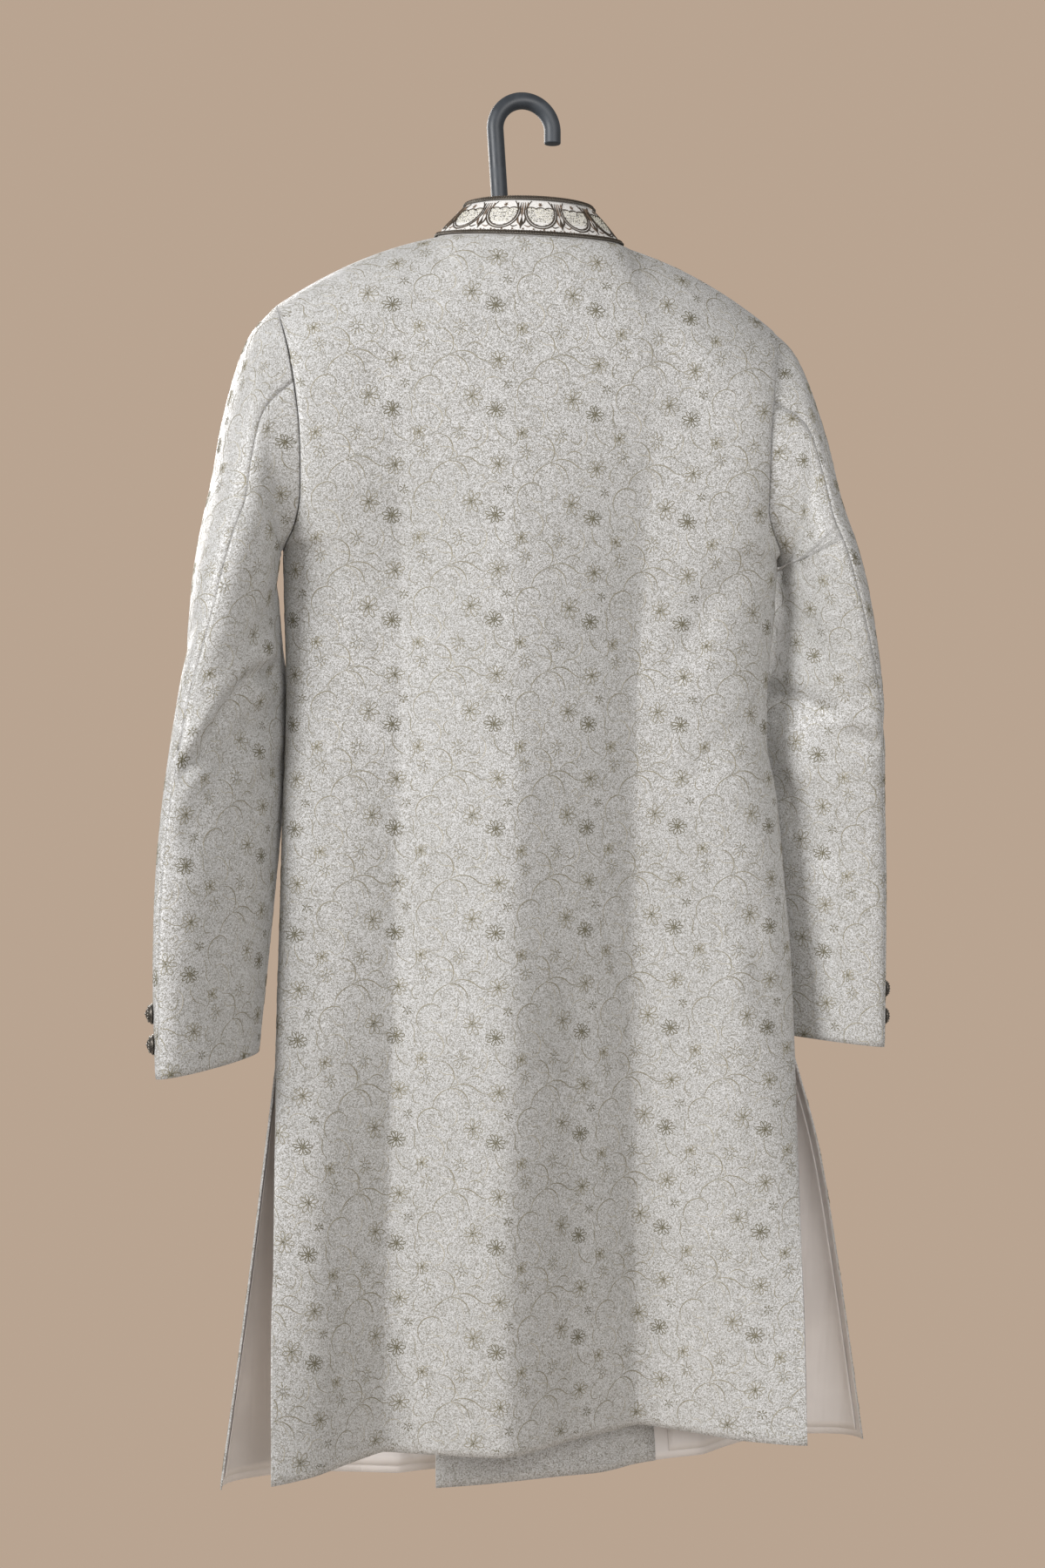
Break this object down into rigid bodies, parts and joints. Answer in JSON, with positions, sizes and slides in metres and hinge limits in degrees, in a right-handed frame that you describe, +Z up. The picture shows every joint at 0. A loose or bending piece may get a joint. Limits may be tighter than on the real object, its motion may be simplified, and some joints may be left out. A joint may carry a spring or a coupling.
{
  "type": "sherwani coat on a hanger",
  "caption": "Knee-length brocade sherwani with stand collar, side slits and buttoned cuffs, hanging on a hook hanger.",
  "frame": {"origin": "inside of the hanger's hook, at its crown, where it rests on whatever holds it", "axes": "+Z up, the coat's front faces -Y, the wearer's left is +X"},
  "size_m": [0.682, 0.1828, 1.2566],
  "materials": {
    "brocade": "ivory and silver satin brocade, all-over woven figure",
    "satin_lining": "ivory satin",
    "embroidered_collar": "stiff collar, beaded and corded embroidery",
    "metallic_cord": "twisted dark metallic cord",
    "antique_metal": "antiqued, dark, chased",
    "dark_plastic": "slate grey, moulded"
  },
  "bodies": {
    "root": {"back": "brocade", "collar": "embroidered_collar", "collar_cord_base": "metallic_cord", "collar_cord_top": "metallic_cord", "cuff_button_left_1": "antique_metal", "cuff_button_left_2": "antique_metal", "cuff_button_right_1": "antique_metal", "cuff_button_right_2": "antique_metal", "facing_front_right": "brocade", "front_button_1": "antique_metal", "front_button_2": "antique_metal", "front_button_3": "antique_metal", "front_button_4": "antique_metal", "front_button_5": "antique_metal", "front_button_6": "antique_metal", "front_button_7": "antique_metal", "front_left": "brocade", "front_right": "brocade", "hanger_body": "dark_plastic", "hanger_hook": "dark_plastic", "lining_front_left": "satin_lining", "lining_front_right": "satin_lining", "sleeve_left_top": "brocade", "sleeve_left_under": "brocade", "sleeve_right_top": "brocade", "sleeve_right_under": "brocade"}
  },
  "joints": []
}
